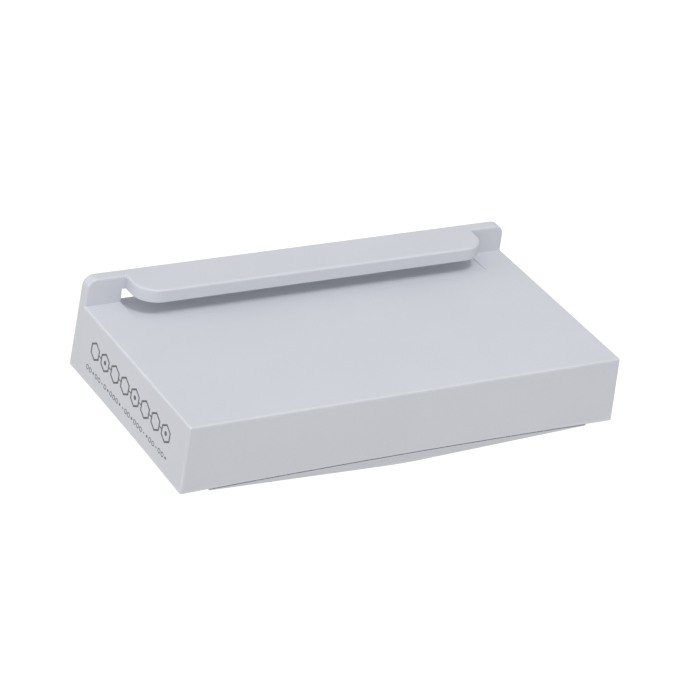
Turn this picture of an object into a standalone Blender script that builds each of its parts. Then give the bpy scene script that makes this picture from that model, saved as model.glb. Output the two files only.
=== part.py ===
"""Clip-on activated-carbon air purifier.

A moulded housing with a hanger plate and hook lip, a hinged and slotted vent cover that bows
downward, and the replaceable carbon cartridge between them.

Origin under the middle of the part, +X along its width, +Y towards the hanger plate, +Z up.
All sizes are in metres.
"""

import math

import bmesh
import bpy

# Housing
BODY_WIDTH = 0.1200         # across the top face
BODY_DEPTH = 0.0608         # front edge of the top face to the back of the plate
BODY_HEIGHT = 0.0176        # corners of the lower rim to the top face
DRAFT_LEAN = 0.0007         # how far front and side walls lean out between top face and rim
WALL = 0.0020
CEILING = 0.0022
EDGE_RADIUS = 0.0005
RIM_ARCH = 0.00065          # rise of the front and back walls' lower edge at mid-width
SIDE_ARCH = 0.0003          # rise of the side walls' lower edge at mid-depth
RIM_SKIN = 0.0009           # thickness of the skirt outside the cover
REBATE_HEIGHT = 0.0030

# Hanger plate, hook lip, window and recess
PLATE_RISE = 0.0072         # plate's top above the top face
PLATE_THICK = 0.0032
PLATE_CORNER = 0.0026
LIP_WIDTH = 0.0990
LIP_DEPTH = 0.0089          # in front of the plate
LIP_THICK = 0.0036
LIP_CORNER = 0.0062
LIP_LOWER_RADIUS = 0.00025
LIP_ROOT = 0.00075          # between the lip's rear end, inside the plate, and the plate's back
WINDOW_WIDTH = 0.1006
WINDOW_LEAD = 0.0004        # how far the window's cut starts in front of the plate
RECESS_LENGTH = 0.0087      # in front of the plate
RECESS_STEP = 0.00015       # depth at its front edge
RECESS_DEPTH = 0.0006       # depth at the plate's front face
SILL_DROP = 0.0010          # depth at the plate's back

# Vent cover
COVER_BOW = 0.0021          # how far the cover's middle hangs below the rim's corners
FOOT_HALF = 0.0030          # half-width of the flat strip that it rests on
BAND_HALF = 0.0530          # half-width of the band that shows under the front wall
COVER_PANEL = 0.0016
COVER_RIM = 0.0012
COVER_GAP = 0.0003          # all round, between cover and housing
SLOT_WIDTH = 0.0020
SLOT_LENGTH = 0.0200
SLOT_PITCH = 0.0040
SLOT_ROW_WEB = 0.0034       # between the two rows of slots
SLOTS_PER_BLOCK = 4
SUPPORT_RIB = 0.0012
SNAP_LENGTH = 0.0140
SNAP_SPACING = 0.0700
SNAP_RADIUS = 0.00040       # of the round ribs on the cover's front edge
SNAP_OFFSET = 0.00015       # their axis behind that edge
SNAP_GROOVE = 0.00055       # radius of the groove that each drops into

# Hinge
HINGE_SPACING = 0.0760      # between the middles of the two hinges
HINGE_INSET = 0.0030        # axis to the housing's back face
HINGE_RISE = 0.0020         # axis above the rim's corners
KNUCKLE_RADIUS = 0.0015
KNUCKLE_LENGTH = 0.0060
ARM_DROP = 0.00147          # the knuckle arms' underside below the axis
HINGE_REACH = 0.0030        # axis to the cover's back edge
SWING_GAP = 0.0009          # between the cover's back edge and the housing's rear flange
FLANGE_THICK = 0.0015
EAR_THICK = 0.0024
BORE_OVERRUN = 0.0025       # how far a pin's bore is cut past the outer faces of its lugs
PIN_RADIUS = 0.00075
PIN_FIT = 0.00006           # radial, in the ears
RUN_FIT = 0.00008           # radial, in the knuckle

# Cartridge
STACK_GAP = 0.0003          # between pieces that lie on each other
CARTRIDGE_GAP = 0.0008      # to the housing's walls
CRUSH_RIB_WIDTH = 0.0012
LID_PLATE = 0.0012
LID_SKIRT = 0.0009
LID_SKIRT_HEIGHT = 0.0036
LATTICE_HOLE = 0.0054
LATTICE_BAR = 0.0013
FLEECE_THICK = 0.0005
TRAY_WALL = 0.0012
TRAY_ROOF = 0.0010
TRAY_CORNER = 0.0020
CELL_WALL = 0.0010
CELL_COUNT = 4
CARBON_GAP = 0.0003
RIBBON_WIDTH = 0.0100
RIBBON_THICK = 0.0003
RIBBON_TAIL = 0.0200
RIBBON_RISE = 0.0042

# Levels and lines worked out from the sizes above
RIM_Z = COVER_BOW
TOP_Z = RIM_Z + BODY_HEIGHT
PLATE_TOP_Z = TOP_Z + PLATE_RISE
LIP_UNDER_Z = PLATE_TOP_Z - LIP_THICK
BACK_Y = (BODY_DEPTH + DRAFT_LEAN) / 2
FRONT_Y = -BACK_Y                       # lower edge of the front wall
PLATE_FRONT_Y = BACK_Y - PLATE_THICK
RIM_HALF = BODY_WIDTH / 2 + DRAFT_LEAN
HINGE_Y = BACK_Y - HINGE_INSET
HINGE_Z = RIM_Z + HINGE_RISE
COVER_HALF = RIM_HALF - RIM_SKIN - COVER_GAP
COVER_FRONT_Y = FRONT_Y + RIM_SKIN + COVER_GAP
COVER_BACK_Y = HINGE_Y - HINGE_REACH
COVER_TOP_Z = RIM_Z + REBATE_HEIGHT - COVER_GAP
FLANGE_FRONT_Y = COVER_BACK_Y + SWING_GAP
CAVITY_TOP_Z = TOP_Z - CEILING
LID_BOTTOM_Z = RIM_Z + REBATE_HEIGHT + STACK_GAP
FLEECE_Z = LID_BOTTOM_Z + LID_PLATE + STACK_GAP
TRAY_BOTTOM_Z = FLEECE_Z + FLEECE_THICK + STACK_GAP
TRAY_TOP_Z = CAVITY_TOP_Z - 2 * STACK_GAP
CAVITY_TOP_HALF = BODY_WIDTH / 2 - WALL
CAVITY_TOP_FRONT_Y = FRONT_Y + DRAFT_LEAN + WALL
LID_HALF = CAVITY_TOP_HALF - CARTRIDGE_GAP
LID_FRONT_Y = CAVITY_TOP_FRONT_Y + CARTRIDGE_GAP
LID_BACK_Y = COVER_BACK_Y + STACK_GAP
LID_INSET = LID_SKIRT + STACK_GAP       # from the lid's outside to the tray's outside

BIG = 0.02                              # how far a cutter runs past what it cuts
ROUND = 16                              # sides of small round pieces
ARCH_CELLS = 24                         # flat strips across the arched rim


def clear_scene():
    for item in list(bpy.data.objects):
        bpy.data.objects.remove(item, do_unlink=True)


def make_collection(name):
    group = bpy.data.collections.new(name)
    bpy.context.scene.collection.children.link(group)
    return group


def make_material(name, colour, roughness, metallic=0.0):
    material = bpy.data.materials.new(name)
    material.use_nodes = True
    shader = material.node_tree.nodes["Principled BSDF"]
    shader.inputs["Base Color"].default_value = (*colour, 1.0)
    shader.inputs["Roughness"].default_value = roughness
    shader.inputs["Metallic"].default_value = metallic
    return material


def add_object(name, bm, collection):
    """Turn a bmesh into an object with its origin at the frame's origin."""
    mesh = bpy.data.meshes.new(name)
    bm.to_mesh(mesh)
    bm.free()
    item = bpy.data.objects.new(name, mesh)
    collection.objects.link(item)
    if collection is CUTTERS:
        item.display_type = "WIRE"
        item.hide_render = True
    return item


def box_bmesh(low, high):
    bm = bmesh.new()
    bmesh.ops.create_cube(bm, size=1.0)
    for vert in bm.verts:
        for axis in range(3):
            vert.co[axis] = high[axis] if vert.co[axis] > 0 else low[axis]
    return bm


def add_box(name, low, high, collection):
    return add_object(name, box_bmesh(low, high), collection)


def add_cylinder(name, radius, x_low, x_high, y, z, collection):
    """A cylinder that lies along X."""
    bm = bmesh.new()
    bmesh.ops.create_cone(
        bm, cap_ends=True, segments=ROUND, radius1=radius, radius2=radius, depth=1.0)
    for vert in bm.verts:
        along = x_high if vert.co.z > 0 else x_low
        vert.co = (along, y + vert.co.x, z + vert.co.y)
    return add_object(name, bm, collection)


def bevel_edges(bm, edges, width, segments):
    bmesh.ops.bevel(
        bm, geom=edges, offset=width, offset_type="OFFSET", segments=segments,
        profile=0.5, affect="EDGES", clamp_overlap=True)


def upright_edges(bm):
    picked = []
    for edge in bm.edges:
        run = edge.verts[1].co - edge.verts[0].co
        if abs(run.z) > 2 * (abs(run.x) + abs(run.y)):
            picked.append(edge)
    return picked


def combine(target, tool, operation):
    """Cut the tool out of the target, or join it on, with an exact Boolean."""
    step = target.modifiers.new(tool.name, "BOOLEAN")
    step.operation = operation
    step.object = tool
    step.solver = "EXACT"


def cut(target, tool):
    combine(target, tool, "DIFFERENCE")


def join(target, tool):
    combine(target, tool, "UNION")


def dress(item, material, smooth=False):
    item.data.materials.clear()
    item.data.materials.append(material)
    if smooth:
        item.data.shade_smooth()
        item.data.set_sharp_from_angle(angle=math.radians(35))


# ---------------------------------------------------------------- housing

def lean_at(z):
    """How far the drafted walls stand out from the top face's outline at this height."""
    return DRAFT_LEAN * (TOP_Z - z) / BODY_HEIGHT


def housing_blank():
    """The drafted box with the hanger plate drawn up from its back edge, edges rounded."""
    foot_z = RIM_Z - RIM_ARCH
    bm = bmesh.new()
    bmesh.ops.create_cube(bm, size=1.0)
    for vert in bm.verts:
        z = TOP_Z if vert.co.z > 0 else foot_z
        half = BODY_WIDTH / 2 + lean_at(z)
        x = math.copysign(half, vert.co.x)
        y = BACK_Y if vert.co.y > 0 else FRONT_Y + DRAFT_LEAN - lean_at(z)
        vert.co = (x, y, z)
    bmesh.ops.bisect_plane(
        bm, geom=bm.verts[:] + bm.edges[:] + bm.faces[:],
        plane_co=(0, PLATE_FRONT_Y, 0), plane_no=(0, 1, 0), dist=1e-7)
    strip = [face for face in bm.faces
             if face.normal.z > 0.9 and face.calc_center_median().y > PLATE_FRONT_Y]
    grown = bmesh.ops.extrude_face_region(bm, geom=strip)
    bmesh.ops.delete(bm, geom=[face for face in strip if face.is_valid], context="FACES_ONLY")
    for part in grown["geom"]:
        if isinstance(part, bmesh.types.BMVert):
            part.co.z = PLATE_TOP_Z
            part.co.x = math.copysign(BODY_WIDTH / 2 + lean_at(PLATE_TOP_Z), part.co.x)
    bmesh.ops.recalc_face_normals(bm, faces=bm.faces)
    bmesh.ops.dissolve_limit(
        bm, angle_limit=math.radians(0.5), verts=bm.verts[:], edges=bm.edges[:])
    corners = [edge for edge in bm.edges
               if all(vert.co.z > PLATE_TOP_Z - 1e-6 for vert in edge.verts)
               and abs(edge.verts[0].co.y - edge.verts[1].co.y) > PLATE_THICK / 2]
    bevel_edges(bm, corners, PLATE_CORNER, 8)
    outer = [edge for edge in bm.edges
             if edge.is_convex
             and edge.calc_face_angle(0) > math.radians(30)
             and max(vert.co.z for vert in edge.verts) > RIM_Z]
    bevel_edges(bm, outer, EDGE_RADIUS, 3)
    return add_object("housing", bm, PARTS)


def hollow_housing(housing):
    """The inside: drafted like the outside, with a wider rebate at the rim for the cover."""
    bm = bmesh.new()
    bmesh.ops.create_cube(bm, size=1.0)
    low_z = RIM_Z - BIG
    for vert in bm.verts:
        z = CAVITY_TOP_Z if vert.co.z > 0 else low_z
        half = BODY_WIDTH / 2 + lean_at(z) - WALL
        x = math.copysign(half, vert.co.x)
        y = BACK_Y - WALL if vert.co.y > 0 else FRONT_Y + DRAFT_LEAN - lean_at(z) + WALL
        vert.co = (x, y, z)
    bevel_edges(bm, upright_edges(bm), EDGE_RADIUS, 2)
    cut(housing, add_object("cavity", bm, CUTTERS))
    rebate = box_bmesh(
        (-RIM_HALF + RIM_SKIN, FRONT_Y + RIM_SKIN, RIM_Z - BIG),
        (RIM_HALF - RIM_SKIN, BACK_Y - WALL - STACK_GAP, RIM_Z + REBATE_HEIGHT))
    bevel_edges(rebate, upright_edges(rebate), EDGE_RADIUS, 2)
    cut(housing, add_object("rebate", rebate, CUTTERS))


def add_rear_flange(housing):
    """The ledge inside the back wall that closes the gap behind the cover."""
    half = RIM_HALF - RIM_SKIN / 2
    flange = add_box(
        "rear_flange",
        (-half, FLANGE_FRONT_Y, RIM_Z - RIM_ARCH),
        (half, BACK_Y - WALL / 2, RIM_Z + FLANGE_THICK), CUTTERS)
    join(housing, flange)


def hinge_places():
    return (("left", -HINGE_SPACING / 2), ("right", HINGE_SPACING / 2))


def ear_bmesh(x_middle):
    """A lug that carries one end of a pin, rounded above the axis."""
    radius = HINGE_REACH - SWING_GAP
    square = radius / 4                 # the lug is round only beyond this
    bm = bmesh.new()
    bmesh.ops.create_cone(
        bm, cap_ends=True, segments=ROUND, radius1=radius, radius2=radius, depth=1.0)
    for vert in bm.verts:
        across, up = vert.co.x, vert.co.y
        along = x_middle + math.copysign(EAR_THICK / 2, vert.co.z)
        if up < -square:
            up = RIM_Z + FLANGE_THICK / 2 - HINGE_Z
        if across > square:
            across = HINGE_INSET - WALL / 2
        vert.co = (along, HINGE_Y + across, HINGE_Z + up)
    bmesh.ops.remove_doubles(bm, verts=bm.verts, dist=1e-6)
    return bm


def add_hinge_seats(housing):
    """Two lugs, a relieved pocket and a pin bore at each hinge."""
    ear_offset = (KNUCKLE_LENGTH + EAR_THICK) / 2 + COVER_GAP
    pocket_half = KNUCKLE_LENGTH / 2 + COVER_GAP
    bore_half = ear_offset + EAR_THICK / 2 + BORE_OVERRUN
    for side, x in hinge_places():
        for end, offset in (("outer", -ear_offset), ("inner", ear_offset)):
            join(housing, add_object(f"ear_{side}_{end}", ear_bmesh(x + offset), CUTTERS))
        cut(housing, add_cylinder(
            f"knuckle_pocket_{side}", KNUCKLE_RADIUS + COVER_GAP,
            x - pocket_half, x + pocket_half, HINGE_Y, HINGE_Z, CUTTERS))
        cut(housing, add_box(
            f"arm_notch_{side}",
            (x - pocket_half, FLANGE_FRONT_Y - COVER_GAP, RIM_Z - BIG),
            (x + pocket_half, HINGE_Y + KNUCKLE_RADIUS + COVER_GAP, HINGE_Z), CUTTERS))
        cut(housing, add_cylinder(
            f"pin_bore_{side}", PIN_RADIUS + PIN_FIT, x - bore_half, x + bore_half,
            HINGE_Y, HINGE_Z, CUTTERS))


def add_crush_ribs(housing):
    """Small upright ribs on the inside of the walls that hold the cartridge by friction."""
    low_z = LID_BOTTOM_Z + LID_SKIRT_HEIGHT
    high_z = CAVITY_TOP_Z + CEILING / 2
    half = CRUSH_RIB_WIDTH / 2
    reach = LID_HALF + STACK_GAP
    for side in (-1, 1):
        for row, y in (("front", FRONT_Y / 2), ("back", LID_BACK_Y / 2)):
            ends = sorted((side * reach, side * (CAVITY_TOP_HALF + WALL / 2)))
            join(housing, add_box(
                f"side_rib_{row}_{side + 1}", (ends[0], y - half, low_z),
                (ends[1], y + half, high_z), CUTTERS))
        x = side * BODY_WIDTH / 4
        join(housing, add_box(
            f"front_rib_{side + 1}", (x - half, CAVITY_TOP_FRONT_Y - WALL / 2, low_z),
            (x + half, LID_FRONT_Y - STACK_GAP, high_z), CUTTERS))
        join(housing, add_box(
            f"back_rib_{side + 1}", (x - half, LID_BACK_Y + STACK_GAP, low_z),
            (x + half, BACK_Y - WALL / 2, high_z), CUTTERS))


def add_lip(housing):
    """The hook lip: a flat tongue, flush with the plate's top, with big front corners."""
    bm = box_bmesh(
        (-LIP_WIDTH / 2, PLATE_FRONT_Y - LIP_DEPTH, LIP_UNDER_Z),
        (LIP_WIDTH / 2, BACK_Y - LIP_ROOT, PLATE_TOP_Z))
    front = [edge for edge in upright_edges(bm) if edge.verts[0].co.y < PLATE_FRONT_Y]
    bevel_edges(bm, front, LIP_CORNER, 10)
    outline = [edge for edge in bm.edges
               if edge.calc_face_angle(0) > math.radians(60)
               and min(vert.co.y for vert in edge.verts) < PLATE_FRONT_Y]
    upper = [edge for edge in outline if all(v.co.z > PLATE_TOP_Z - 1e-6 for v in edge.verts)]
    bevel_edges(bm, upper, EDGE_RADIUS, 3)
    outline = [edge for edge in bm.edges
               if all(v.co.z < LIP_UNDER_Z + 1e-6 for v in edge.verts)
               and min(v.co.y for v in edge.verts) < PLATE_FRONT_Y]
    bevel_edges(bm, outline, LIP_LOWER_RADIUS, 1)
    join(housing, add_object("lip", bm, CUTTERS))


def cut_window_and_recess(housing):
    """The window through the plate, with a falling sill, and the wedge recess before it."""
    half = WINDOW_WIDTH / 2
    window = box_bmesh(
        (-half, PLATE_FRONT_Y - WINDOW_LEAD, TOP_Z), (half, BACK_Y + PLATE_THICK, LIP_UNDER_Z))
    slope = (SILL_DROP - RECESS_DEPTH) / PLATE_THICK
    for vert in window.verts:
        if vert.co.z < LIP_UNDER_Z - 1e-6:
            vert.co.z = TOP_Z - RECESS_DEPTH - slope * (vert.co.y - PLATE_FRONT_Y)
    cut(housing, add_object("window", window, CUTTERS))
    recess_front_y = PLATE_FRONT_Y - RECESS_LENGTH
    recess = box_bmesh((-half, recess_front_y, TOP_Z), (half, PLATE_FRONT_Y, LIP_UNDER_Z))
    middle_z = (TOP_Z + LIP_UNDER_Z) / 2
    for vert in recess.verts:
        if vert.co.z > middle_z:
            vert.co.z = middle_z
        elif vert.co.y > recess_front_y + 1e-6:
            vert.co.z = TOP_Z - RECESS_DEPTH
        else:
            vert.co.z = TOP_Z - RECESS_STEP
    cut(housing, add_object("recess", recess, CUTTERS))


def rim_at(x, y):
    """Height of the walls' lower edge, which rises slightly between the corners."""
    return RIM_Z + RIM_ARCH * (1 - (x / RIM_HALF) ** 2) + SIDE_ARCH * (1 - (y / BACK_Y) ** 2)


def trim_rim(housing):
    """Cut the walls' lower edges to their arches."""
    bm = bmesh.new()
    bmesh.ops.create_grid(bm, x_segments=ARCH_CELLS, y_segments=ARCH_CELLS // 2, size=1.0)
    for vert in bm.verts:
        x = vert.co.x * (RIM_HALF + RIM_SKIN)
        y = vert.co.y * (BACK_Y + RIM_SKIN)
        vert.co = (x, y, rim_at(x, y))
    grown = bmesh.ops.extrude_face_region(bm, geom=bm.faces[:])
    for part in grown["geom"]:
        if isinstance(part, bmesh.types.BMVert):
            part.co.z = RIM_Z - BIG
    bmesh.ops.recalc_face_normals(bm, faces=bm.faces)
    cut(housing, add_object("rim_trim", bm, CUTTERS))


def cut_snap_groove(housing):
    for side in (-1, 1):
        x = side * SNAP_SPACING / 2
        half = SNAP_LENGTH / 2 + COVER_GAP
        cut(housing, add_cylinder(
            f"snap_groove_{side + 1}", SNAP_GROOVE, x - half, x + half,
            COVER_FRONT_Y, HINGE_Z, CUTTERS))


def make_housing():
    housing = housing_blank()
    hollow_housing(housing)
    add_rear_flange(housing)
    add_hinge_seats(housing)
    add_crush_ribs(housing)
    add_lip(housing)
    cut_window_and_recess(housing)
    cut_snap_groove(housing)
    trim_rim(housing)
    dress(housing, make_material("housing_plastic", (0.60, 0.61, 0.66), 0.42), smooth=True)


# ---------------------------------------------------------------- vent cover

def bow_at(x):
    """Height of the cover's underside: a flat foot in the middle and two slopes up to the sides."""
    return COVER_BOW * max(0.0, abs(x) - FOOT_HALF) / (RIM_HALF - FOOT_HALF)


def slice_across(bm, places):
    """Give the mesh an edge loop at each of these X places."""
    for x in places:
        bmesh.ops.bisect_plane(
            bm, geom=bm.verts[:] + bm.edges[:] + bm.faces[:],
            plane_co=(x, 0, 0), plane_no=(1, 0, 0), dist=1e-7)


def bowed_block(name, inset, front_y, lift, top_z, collection):
    """A block with a flat top whose underside follows the bow."""
    half = COVER_HALF - inset
    bm = box_bmesh((-half, front_y, 0), (half, COVER_BACK_Y - inset, top_z))
    bevel_edges(bm, upright_edges(bm), EDGE_RADIUS, 2)
    slice_across(bm, (-FOOT_HALF, FOOT_HALF))
    for vert in bm.verts:
        if vert.co.z < top_z / 2:
            vert.co.z = bow_at(vert.co.x) + lift
    return add_object(name, bm, collection)


def shape_front_band(cover):
    """In front of the cover's rim, leave only the band under the front wall's arched edge."""
    reach = RIM_HALF + BIG
    end = BAND_HALF + COVER_GAP
    bm = box_bmesh((-reach, FRONT_Y - BIG, 0), (reach, COVER_FRONT_Y, BIG))
    pitch = 2 * BAND_HALF / ARCH_CELLS
    strips = [-BAND_HALF + number * pitch for number in range(ARCH_CELLS + 1)]
    slice_across(bm, strips + [-end, end])
    for vert in bm.verts:
        if vert.co.z > BIG / 2:
            continue
        inside = abs(vert.co.x) < BAND_HALF + COVER_GAP / 2
        vert.co.z = rim_at(vert.co.x, FRONT_Y) - COVER_GAP if inside else -BIG
    cut(cover, add_object("band_relief", bm, CUTTERS))


def slot_blocks():
    """Width of a block of slots with its support rib, and how many fit on each half."""
    width = (SLOTS_PER_BLOCK + 1) * SLOT_PITCH
    return width, math.ceil(COVER_HALF / width)


def slot_columns():
    """X places of the slots: blocks of slots between the support ribs."""
    width, count = slot_blocks()
    columns = []
    for number in range(count):
        for step in range(1, SLOTS_PER_BLOCK + 1):
            x = number * width + step * SLOT_PITCH
            if x + SLOT_WIDTH < COVER_HALF - COVER_RIM:
                columns += [x, -x]
    return columns


def rib_columns():
    width, count = slot_blocks()
    return [side * number * width for number in range(1, count) for side in (-1, 1)]


def cut_slots(cover):
    """Two rows of round-ended slots that run front to back."""
    radius = SLOT_WIDTH / 2
    middle_y = (COVER_FRONT_Y + COVER_BACK_Y) / 2
    stretch = SLOT_LENGTH / 2 - radius
    bm = bmesh.new()
    for x in slot_columns():
        for row in (-1, 1):
            y = middle_y + row * (SLOT_LENGTH + SLOT_ROW_WEB) / 2
            made = bmesh.ops.create_cone(
                bm, cap_ends=True, segments=12, radius1=radius, radius2=radius, depth=BIG)
            for vert in made["verts"]:
                # twelve corners, none of them on the slot's middle line
                turned_x = vert.co.x * math.cos(math.pi / 12) - vert.co.y * math.sin(math.pi / 12)
                turned_y = vert.co.x * math.sin(math.pi / 12) + vert.co.y * math.cos(math.pi / 12)
                vert.co.x = x + turned_x
                vert.co.y = y + turned_y + math.copysign(stretch, turned_y)
    cut(cover, add_object("vent_slots", bm, CUTTERS))


def add_support_ribs(cover):
    for x in rib_columns():
        join(cover, add_box(
            f"support_rib_{x * 1000:+.0f}",
            (x - SUPPORT_RIB / 2, COVER_FRONT_Y + COVER_RIM / 2, bow_at(x) + COVER_PANEL / 2),
            (x + SUPPORT_RIB / 2, COVER_BACK_Y - COVER_RIM / 2, LID_BOTTOM_Z - STACK_GAP),
            CUTTERS))


def add_snap_ribs(cover):
    for side in (-1, 1):
        x = side * SNAP_SPACING / 2
        join(cover, add_cylinder(
            f"snap_rib_{side + 1}", SNAP_RADIUS, x - SNAP_LENGTH / 2, x + SNAP_LENGTH / 2,
            COVER_FRONT_Y + SNAP_OFFSET, HINGE_Z, CUTTERS))


def add_knuckles(cover):
    """A knuckle and its arm at each hinge, with a running bore for the pin."""
    half = KNUCKLE_LENGTH / 2
    for side, x in hinge_places():
        join(cover, add_cylinder(
            f"knuckle_{side}", KNUCKLE_RADIUS, x - half, x + half, HINGE_Y, HINGE_Z, CUTTERS))
        join(cover, add_box(
            f"arm_{side}", (x - half, COVER_BACK_Y - COVER_RIM / 2, HINGE_Z - ARM_DROP),
            (x + half, HINGE_Y, HINGE_Z), CUTTERS))
        cut(cover, add_cylinder(
            f"knuckle_bore_{side}", PIN_RADIUS + RUN_FIT, x - KNUCKLE_LENGTH, x + KNUCKLE_LENGTH,
            HINGE_Y, HINGE_Z, CUTTERS))


def make_vent_cover():
    cover = bowed_block("vent_cover", 0.0, FRONT_Y, 0.0, COVER_TOP_Z, PARTS)
    cut(cover, bowed_block(
        "pan", COVER_RIM, COVER_FRONT_Y + COVER_RIM, COVER_PANEL, COVER_TOP_Z + BIG, CUTTERS))
    shape_front_band(cover)
    add_support_ribs(cover)
    cut_slots(cover)
    add_snap_ribs(cover)
    add_knuckles(cover)
    dress(cover, make_material("cover_plastic", (0.56, 0.57, 0.62), 0.45))


def make_hinge_pins():
    steel = make_material("pin_steel", (0.62, 0.62, 0.64), 0.28, 1.0)
    half = KNUCKLE_LENGTH / 2 + COVER_GAP + EAR_THICK
    for side, x in hinge_places():
        pin = add_cylinder(
            f"hinge_pin_{side}", PIN_RADIUS, x - half, x + half, HINGE_Y, HINGE_Z, PARTS)
        dress(pin, steel, smooth=True)


# ---------------------------------------------------------------- cartridge

def rounded_block(name, low, high, collection):
    bm = box_bmesh(low, high)
    bevel_edges(bm, upright_edges(bm), TRAY_CORNER, 3)
    return add_object(name, bm, collection)


def cell_spans():
    """Low and high X of each cell inside the tray."""
    inner = LID_HALF - LID_INSET - TRAY_WALL
    width = (2 * inner - (CELL_COUNT - 1) * CELL_WALL) / CELL_COUNT
    return [(-inner + number * (width + CELL_WALL), -inner + number * (width + CELL_WALL) + width)
            for number in range(CELL_COUNT)]


def tray_lines():
    """Front and back of the tray's outside."""
    return LID_FRONT_Y + LID_INSET, LID_BACK_Y - LID_INSET


def make_tray():
    """Closed on top, open below, with cell walls; the carbon is poured in upside down."""
    front, back = tray_lines()
    half = LID_HALF - LID_INSET
    tray = rounded_block("cartridge_tray", (-half, front, TRAY_BOTTOM_Z), (half, back, TRAY_TOP_Z),
                         PARTS)
    for number, (low_x, high_x) in enumerate(cell_spans(), 1):
        cut(tray, add_box(
            f"cell_{number}", (low_x, front + TRAY_WALL, TRAY_BOTTOM_Z - BIG),
            (high_x, back - TRAY_WALL, TRAY_TOP_Z - TRAY_ROOF), CUTTERS))
    dress(tray, make_material("tray_plastic", (0.80, 0.81, 0.82), 0.5))


def make_carbon_beds():
    """The granules of each cell, as one closed block each."""
    carbon = make_material("activated_carbon", (0.02, 0.02, 0.022), 0.8)
    front, back = tray_lines()
    for number, (low_x, high_x) in enumerate(cell_spans(), 1):
        bed = add_box(
            f"carbon_bed_{number}",
            (low_x + CARBON_GAP, front + TRAY_WALL + CARBON_GAP, TRAY_BOTTOM_Z),
            (high_x - CARBON_GAP, back - TRAY_WALL - CARBON_GAP,
             TRAY_TOP_Z - TRAY_ROOF - CARBON_GAP), PARTS)
        dress(bed, carbon)


def make_fleece():
    front, back = tray_lines()
    half = LID_HALF - LID_INSET
    fleece = rounded_block(
        "dust_fleece", (-half, front, FLEECE_Z), (half, back, FLEECE_Z + FLEECE_THICK), PARTS)
    dress(fleece, make_material("fleece", (0.75, 0.75, 0.74), 0.95))


def lattice_places(low, high):
    """Middles of the lattice holes that fit between two sides."""
    pitch = LATTICE_HOLE + LATTICE_BAR
    count = int((high - low - LATTICE_BAR) // pitch)
    start = (low + high) / 2 - (count - 1) * pitch / 2
    return [start + number * pitch for number in range(count)]


def make_grid():
    """The snap-on lid: a square lattice with a skirt that goes round the tray."""
    grid = rounded_block(
        "cartridge_grid", (-LID_HALF, LID_FRONT_Y, LID_BOTTOM_Z),
        (LID_HALF, LID_BACK_Y, LID_BOTTOM_Z + LID_SKIRT_HEIGHT), PARTS)
    cut(grid, rounded_block(
        "lid_inside", (-LID_HALF + LID_SKIRT, LID_FRONT_Y + LID_SKIRT, LID_BOTTOM_Z + LID_PLATE),
        (LID_HALF - LID_SKIRT, LID_BACK_Y - LID_SKIRT, LID_BOTTOM_Z + BIG), CUTTERS))
    border = LID_SKIRT + TRAY_CORNER
    half = LATTICE_HOLE / 2
    bm = bmesh.new()
    for x in lattice_places(-LID_HALF + border, LID_HALF - border):
        for y in lattice_places(LID_FRONT_Y + border, LID_BACK_Y - border):
            made = bmesh.ops.create_cube(bm, size=1.0)
            for vert in made["verts"]:
                vert.co.x = x + math.copysign(half, vert.co.x)
                vert.co.y = y + math.copysign(half, vert.co.y)
                vert.co.z = LID_BOTTOM_Z + math.copysign(BIG, vert.co.z)
    cut(grid, add_object("lattice", bm, CUTTERS))
    dress(grid, make_material("grid_plastic", (0.80, 0.81, 0.82), 0.5))


def make_pull_tab():
    """A ribbon fixed to the lid's front and folded back under the lattice."""
    half = RIBBON_WIDTH / 2
    front_y = LID_FRONT_Y - STACK_GAP - RIBBON_THICK
    low_z = LID_BOTTOM_Z - STACK_GAP - RIBBON_THICK
    tab = add_box(
        "pull_tab", (-half, front_y, low_z),
        (half, LID_FRONT_Y - STACK_GAP, LID_BOTTOM_Z + RIBBON_RISE), PARTS)
    tail = add_box(
        "ribbon_tail", (-half, front_y + RIBBON_THICK / 2, low_z),
        (half, front_y + RIBBON_TAIL, LID_BOTTOM_Z - STACK_GAP), CUTTERS)
    join(tab, tail)
    dress(tab, make_material("ribbon", (0.30, 0.45, 0.60), 0.8))


clear_scene()
PARTS = make_collection("carbon_air_purifier")
CUTTERS = make_collection("cutters")
make_housing()
make_vent_cover()
make_hinge_pins()
make_tray()
make_carbon_beds()
make_fleece()
make_grid()
make_pull_tab()
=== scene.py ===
"""Looks of the clip-on activated-carbon air purifier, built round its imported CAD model."""

import math
import random

import bmesh
import bpy
from mathutils import Matrix, Vector


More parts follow.
